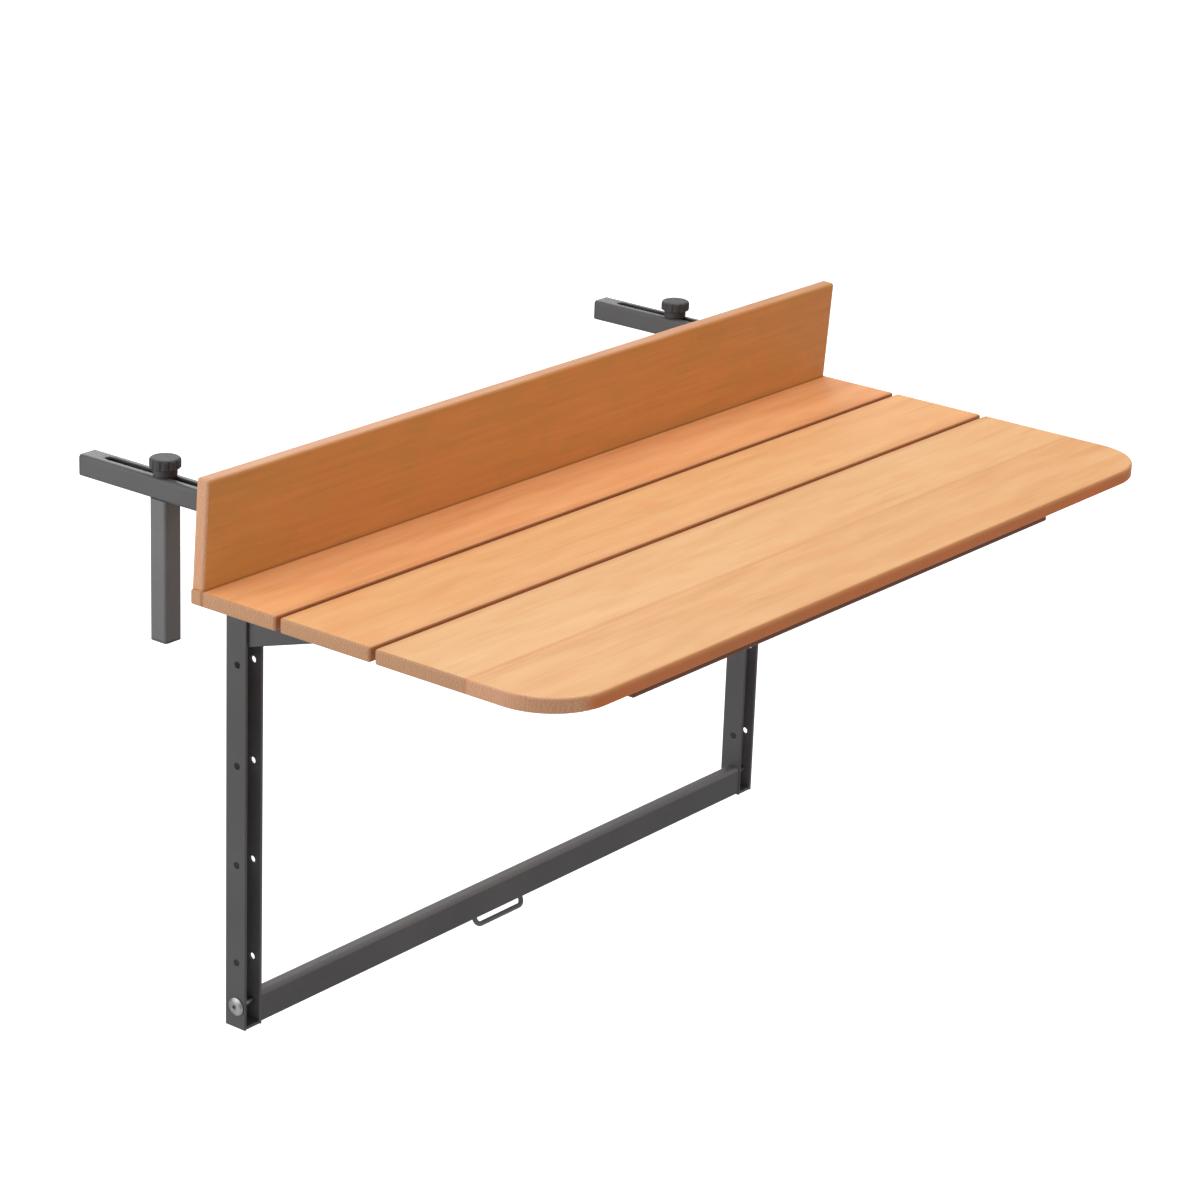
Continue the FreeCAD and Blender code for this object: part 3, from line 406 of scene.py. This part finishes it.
def threaded_zinc(name, pitch):
    """Zinc with a screw thread's fine grooves round a vertical shaft."""
    g = Graph(name)
    height = g.times(g.axis(g.place, "Z"), 2 * math.pi / pitch)
    groove = g.math("MULTIPLY_ADD", g.math("SINE", height), 0.5, 0.5)
    film = g.noise(g.even(90), detail=2.0)
    g.finish(
        Base_Color=g.ramp(film, (0.35, linear(160, 162, 166)), (0.65, linear(205, 202, 194))),
        Metallic=1.0,
        Roughness=0.32,
        Normal=g.bump(groove, pitch * 0.4),
    )


PLASTIC_WEAR_RADIUS = 0.0006
PLASTIC_WEAR_SHARE = 0.2
PLASTIC_WEAR_GREY = linear(112, 112, 114)
PLASTIC_ROUNDING = 0.0005
PLASTIC_RELIEF = 0.00005


def moulded_plastic(name, shades, roughness, grain):
    """Moulded plastic with a spark-eroded grain, from the number of its pits per metre."""
    g = Graph(name)
    base, lift = shades
    pits = g.cells(g.even(grain))
    cloud = g.noise(g.even(40), detail=3.0)
    colour = g.ramp(cloud, (0.3, base), (0.7, lift))
    wear = g.edge_mask(PLASTIC_WEAR_RADIUS)
    colour = g.tint(colour, wear, PLASTIC_WEAR_SHARE, PLASTIC_WEAR_GREY)
    g.finish(
        Base_Color=colour,
        Roughness=g.math("MULTIPLY_ADD", pits, 0.15, roughness),
        Normal=g.bump(pits, PLASTIC_RELIEF, g.soft_edges(PLASTIC_ROUNDING)),
        Specular_IOR_Level=0.45,
    )


def tones(*colours):
    """Several sRGB colours, each 0 to 255, as linear ones."""
    return tuple(linear(*colour) for colour in colours)


def long_edges(*names):
    """The places in Y of the long edges of some boards."""
    return [corner.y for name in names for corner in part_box(name)]


FOOT_HEIGHT = 0.004


def backboard_foot():
    """Where the backboard's front face meets the rear board, in Y."""
    board = NODES["backboard"]
    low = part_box("backboard")[0].z
    corners = [board.matrix_world @ vertex.co for vertex in board.data.vertices]
    return min(corner.y for corner in corners if corner.z < low + FOOT_HEIGHT)


FRONT_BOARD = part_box("front_outer_board")
GLUE_LINE = FRONT_BOARD[1].y
END_TONES = tones((210, 160, 120), (184, 134, 96))
PALE_END_TONES = tones((228, 173, 134), (206, 150, 113))
# Painted shade: the battens and the cleats under the top take a darker copy of the wood.
SHADED_BATTEN_TONES = tones((142, 84, 50), (126, 72, 42), (104, 58, 34))
SHADED_BATTEN_END_TONES = tones((122, 84, 60), (88, 56, 38))
SHADED_BATTEN_SIDES = linear(124, 70, 42)
STEEL_TONES = tones((73, 72, 73), (82, 81, 82))
STEEL_ROUGHNESS = 0.48
THREAD_PITCH = 0.00125
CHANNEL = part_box("right_upright")
# A little less than the channel's wall, so that the painted light of the paler coat starts within
# it
WALL = 0.0018

wood(
    "rear_wood",
    tones((244, 180, 123), (237, 168, 110), (223, 150, 92)),
    END_TONES,
    linear(176, 100, 56),
    seed=1,
    shaded_rims=long_edges("rear_board"),
    contact=backboard_foot(),
)
wood(
    "middle_wood",
    tones((242, 187, 130), (236, 177, 119), (225, 161, 102)),
    END_TONES,
    linear(186, 110, 64),
    seed=2,
    shaded_rims=long_edges("middle_board"),
)
wood(
    "front_wood",
    tones((236, 188, 134), (231, 178, 122), (222, 162, 106)),
    END_TONES,
    linear(186, 108, 62),
    seed=3,
    shaded_rims=[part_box("front_inner_board")[1].y],
    glue_line=GLUE_LINE,
)
wood(
    "edge_wood",
    tones((233, 182, 127), (227, 171, 115), (217, 154, 97)),
    PALE_END_TONES,
    linear(210, 104, 44),
    seed=4,
    glue_line=GLUE_LINE,
    lit_crest=FRONT_BOARD[1].z,
)
wood(
    "backboard_wood",
    # Painted highlight: these pale pink face tones show on the board's top edge.
    tones((214, 162, 124), (206, 150, 110), (194, 132, 82)),
    PALE_END_TONES,
    linear(219, 144, 72),
    seed=5,
)
wood("batten_wood", SHADED_BATTEN_TONES, SHADED_BATTEN_END_TONES, SHADED_BATTEN_SIDES, seed=6)
wood("shaded_cleat_wood", SHADED_BATTEN_TONES, SHADED_BATTEN_END_TONES, SHADED_BATTEN_SIDES, seed=7, along="Y")
powder_coat("coated_steel", STEEL_TONES, STEEL_ROUGHNESS)
powder_coat(
    "channel_lit_coat",
    STEEL_TONES,
    STEEL_ROUGHNESS,
    lit_hollow=(CHANNEL[0].x + WALL, CHANNEL[1].x - WALL),
)
# Painted light: the arms, the jaws with the loop, and the crossbar wear lighter copies of the
# steel's coat.
powder_coat("arm_lit_coat", tones((80, 79, 80), (89, 88, 89)), 0.44)
powder_coat("jaw_lit_coat", tones((104, 103, 104), (113, 112, 113)), 0.44)
powder_coat("bar_lit_coat", tones((80, 79, 81), (89, 88, 90)), 0.56, lit_crest=0.4)
zinc_plate("zinc")
threaded_zinc("stud_thread", THREAD_PITCH)
moulded_plastic("cap_plastic", tones((82, 81, 82), (92, 91, 92)), 0.44, grain=1600)
moulded_plastic("black_plastic", tones((44, 44, 46), (54, 54, 56)), 0.5, grain=1400)
moulded_plastic("knob_plastic", tones((54, 53, 54), (66, 65, 66)), 0.5, grain=1100)

# Nodes that wear a variant of their slot's material, by the ends of their names. Besides the
# thread, these are copies of the coat with painted light, and a darker wood as painted shade.
VARIANTS = {
    "_clamp_stud": "stud_thread",
    "middle_cleat": "shaded_cleat_wood",
    "_upright": "channel_lit_coat",
    "_hanger_arm": "arm_lit_coat",
    "_jaw": "jaw_lit_coat",
    "_loop": "jaw_lit_coat",
    "crossbar": "bar_lit_coat",
}


def dress_nodes():
    """Gives every CAD node the detailed material of its slot, or a variant of it."""
    wear = {row["node"]: row["material_slot"] for row in frame["record"]["subparts"]}
    for name, node in NODES.items():
        for ending, variant in VARIANTS.items():
            if name.endswith(ending):
                wear[name] = variant
        for slot in node.material_slots:
            slot.material = MATERIALS[wear[name]]


# Small pieces that the solids leave out


def new_piece(name, mesh_builder, material, body):
    """A mesh piece that rides on a body and takes its finish from a slot of the record."""
    mesh = bpy.data.meshes.new(name)
    shape = bmesh.new()
    mesh_builder(shape)
    bmesh.ops.recalc_face_normals(shape, faces=shape.faces)
    shape.to_mesh(mesh)
    shape.free()
    for face in mesh.polygons:
        face.use_smooth = True
    piece = bpy.data.objects.new(name, mesh)
    piece.data.materials.append(material)
    bpy.context.scene.collection.objects.link(piece)
    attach(piece, body)


WELD_STEPS_PER_METRE = 900
WELD_STEPS_AT_LEAST = 4
WELD_SIDES = 10
WELD_RIPPLES = 2.4


def weld_bead(path, radius, ripple):
    """A builder of a rippled bead that lies along a path of corner points."""

    def build(shape):
        points = []
        for start, end in zip(path, path[1:]):
            length = (end - start).length
            steps = max(WELD_STEPS_AT_LEAST, int(length * WELD_STEPS_PER_METRE))
            points += [start.lerp(end, step / steps) for step in range(steps)]
        points.append(path[-1])
        rings = []
        travelled = 0.0
        for index, point in enumerate(points):
            before = points[max(index - 1, 0)]
            after = points[min(index + 1, len(points) - 1)]
            direction = (after - before).normalized()
            travelled += (point - before).length
            side = direction.orthogonal().normalized()
            other = direction.cross(side)
            from_end = min(index, len(points) - 1 - index)
            swell = radius * (1 + ripple * math.sin(travelled / radius * WELD_RIPPLES))
            swell *= min(1.0, 0.35 + from_end * 0.3)
            ring = []
            for number in range(WELD_SIDES):
                angle = 2 * math.pi * number / WELD_SIDES
                offset = side * math.cos(angle) + other * math.sin(angle)
                ring.append(shape.verts.new(point + offset * swell))
            rings.append(ring)
        for first, second in zip(rings, rings[1:]):
            for number in range(WELD_SIDES):
                follower = (number + 1) % WELD_SIDES
                shape.faces.new((first[number], first[follower], second[follower], second[number]))
        shape.faces.new(rings[0][::-1])
        shape.faces.new(rings[-1])

    return build


RING_STEPS = 14


def ring_path(centre, radius):
    """A closed round path in the plane across Z."""
    turns = [2 * math.pi * step / RING_STEPS for step in range(RING_STEPS + 1)]
    return [centre + Vector((math.cos(t), math.sin(t), 0)) * radius for t in turns]


ARM_BEAD_RADIUS = 0.0011
LOOP_BEAD_RADIUS = 0.0009
LOOP_BEAD_DROP = 0.0001
LOOP_WIRE_RADIUS = 0.0025
# How far the bead's corners stay from the arm's corner, along its edges and across it
CORNER_RUN = 0.003
CORNER_CUT = 0.0009


def add_welds():
    """The beads where the arms meet the uprights and the loop's feet meet the crossbar."""
    coat = MATERIALS["coated_steel"]
    for side, sign in (("left", -1), ("right", 1)):
        arm_low, arm_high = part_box(f"{side}_hanger_arm")
        web_low, web_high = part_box(f"{side}_upright")
        outer = arm_low.x if sign < 0 else arm_high.x
        inner = web_high.x if sign < 0 else web_low.x
        corner = Vector((outer, arm_low.y, arm_low.z))
        path = [
            Vector((inner, arm_low.y, arm_low.z)),
            corner - Vector((sign * CORNER_RUN, 0, 0)),
            corner + Vector((-sign * CORNER_CUT, 0, CORNER_CUT)),
            corner + Vector((0, 0, CORNER_RUN)),
            Vector((outer, arm_low.y, arm_high.z - CORNER_RUN)),
        ]
        bead = weld_bead(path, ARM_BEAD_RADIUS, ripple=0.14)
        new_piece(f"{side}_arm_weld", bead, coat, "frame")
    loop_low, loop_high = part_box("tie_down_loop")
    bar_low, bar_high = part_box("crossbar")
    bar_middle = (bar_low.y + bar_high.y) / 2
    feet = {"left": loop_low.x + LOOP_WIRE_RADIUS, "right": loop_high.x - LOOP_WIRE_RADIUS}
    for side, x in feet.items():
        centre = Vector((x, bar_middle, bar_low.z - LOOP_BEAD_DROP))
        bead = weld_bead(ring_path(centre, LOOP_WIRE_RADIUS), LOOP_BEAD_RADIUS, ripple=0.12)
        new_piece(f"{side}_loop_weld", bead, coat, "frame")


# The floor, the surround and the lamps

FLOOR_HEIGHT = -1.0
FLOOR_REACH = 30
WORLD_STRENGTH = 0.36
# The floor's own glow to the camera, from below the table outwards, so that it shows as white
NEAR_LIFT = 0.64
FAR_LIFT = 0.86
NEAR_REACH = 0.5
FAR_REACH = 3.5


def add_floor():
    """A plain pale floor that keeps the table's shadow."""
    shape = bmesh.new()
    bmesh.ops.create_grid(shape, x_segments=1, y_segments=1, size=FLOOR_REACH)
    mesh = bpy.data.meshes.new("floor")
    shape.to_mesh(mesh)
    shape.free()
    floor = bpy.data.objects.new("floor", mesh)
    floor.location = (0, 0, FLOOR_HEIGHT)
    bpy.context.scene.collection.objects.link(floor)
    g = Graph("floor")
    rays = g.new("LightPath")
    seen = g.math("MAXIMUM", rays.outputs["Is Camera Ray"], rays.outputs["Is Transmission Ray"])
    reach = g.new("VectorMath")
    reach.operation = "LENGTH"
    g.feed(reach.inputs[0], g.place)
    away = g.between(reach.outputs["Value"], NEAR_REACH, FAR_REACH)
    lift = g.math("MULTIPLY_ADD", away, FAR_LIFT - NEAR_LIFT, NEAR_LIFT)
    g.finish(
        Base_Color=(0.66, 0.66, 0.66, 1),
        Roughness=0.9,
        Specular_IOR_Level=0.1,
        Emission_Color=(1, 1, 1, 1),
        Emission_Strength=g.times(seen, lift),
    )
    mesh.materials.append(g.material)


def add_surround():
    """A pale world that the camera sees as white."""
    world = bpy.data.worlds.new("surround")
    bpy.context.scene.world = world
    world.use_nodes = True
    tree = world.node_tree
    tree.nodes.clear()
    rays = tree.nodes.new("ShaderNodeLightPath")
    either = tree.nodes.new("ShaderNodeMath")
    either.operation = "MAXIMUM"
    tree.links.new(rays.outputs["Is Camera Ray"], either.inputs[0])
    tree.links.new(rays.outputs["Is Transmission Ray"], either.inputs[1])
    blend = tree.nodes.new("ShaderNodeMixShader")
    tree.links.new(either.outputs[0], blend.inputs["Fac"])
    for place, strength in ((1, WORLD_STRENGTH), (2, 1.0)):
        pale = tree.nodes.new("ShaderNodeBackground")
        pale.inputs["Color"].default_value = (1, 1, 1, 1)
        pale.inputs["Strength"].default_value = strength
        tree.links.new(pale.outputs[0], blend.inputs[place])
    output = tree.nodes.new("ShaderNodeOutputWorld")
    tree.links.new(blend.outputs[0], output.inputs["Surface"])


# Soft lamps: name, place, what it points at, width and height, watts
LAMPS = (
    ("overhead", (0.4, -0.2, 2.6), (0, -0.2, 0), (3.0, 3.0), 62),
    ("left", (-1.7, 0.9, 0.25), (-0.2, 0, -0.1), (2.2, 2.0), 23),
    ("behind", (2.2, 3.4, 1.1), (0, 0, 0), (3.2, 1.8), 56),
    ("front", (0.3, -3.2, 0.8), (0.2, 0, -0.2), (2.2, 1.8), 15),
)


def add_lamps():
    """Area lamps that point at the table."""
    for name, place, target, extent, power in LAMPS:
        light = bpy.data.lights.new(name, "AREA")
        light.shape = "RECTANGLE"
        light.size, light.size_y = extent
        light.energy = power
        lamp = bpy.data.objects.new(name, light)
        lamp.location = place
        toward = Vector(target) - Vector(place)
        lamp.rotation_euler = toward.to_track_quat("-Z", "Y").to_euler()
        bpy.context.scene.collection.objects.link(lamp)


# The photograph's camera

CAMERA_PLACE = Vector((-2.55306, -2.08743, 1.02765))
CAMERA_PITCH = 0.34681
CAMERA_YAW = -0.912075
CAMERA_ROLL = 0.037843
CAMERA_LENS = 111.83
CAMERA_SENSOR = 36
CAMERA_REACH = 100


def add_camera():
    """The camera at the photograph's viewpoint."""
    forward = Vector(
        (
            -math.sin(CAMERA_YAW) * math.cos(CAMERA_PITCH),
            math.cos(CAMERA_YAW) * math.cos(CAMERA_PITCH),
            -math.sin(CAMERA_PITCH),
        )
    )
    level = Vector((math.cos(CAMERA_YAW), math.sin(CAMERA_YAW), 0))
    upward = level.cross(forward)
    right = level * math.cos(CAMERA_ROLL) + upward * math.sin(CAMERA_ROLL)
    up = upward * math.cos(CAMERA_ROLL) - level * math.sin(CAMERA_ROLL)
    data = bpy.data.cameras.new("camera")
    data.lens = CAMERA_LENS
    data.sensor_width = CAMERA_SENSOR
    data.sensor_fit = "HORIZONTAL"
    data.clip_end = CAMERA_REACH
    view = bpy.data.objects.new("camera", data)
    turn = Matrix((right, up, -forward)).transposed()
    view.matrix_world = Matrix.Translation(CAMERA_PLACE) @ turn.to_4x4()
    bpy.context.scene.collection.objects.link(view)
    bpy.context.scene.camera = view


dress_nodes()
add_welds()
add_floor()
add_surround()
add_lamps()
add_camera()
bpy.context.scene.view_settings.view_transform = "Standard"
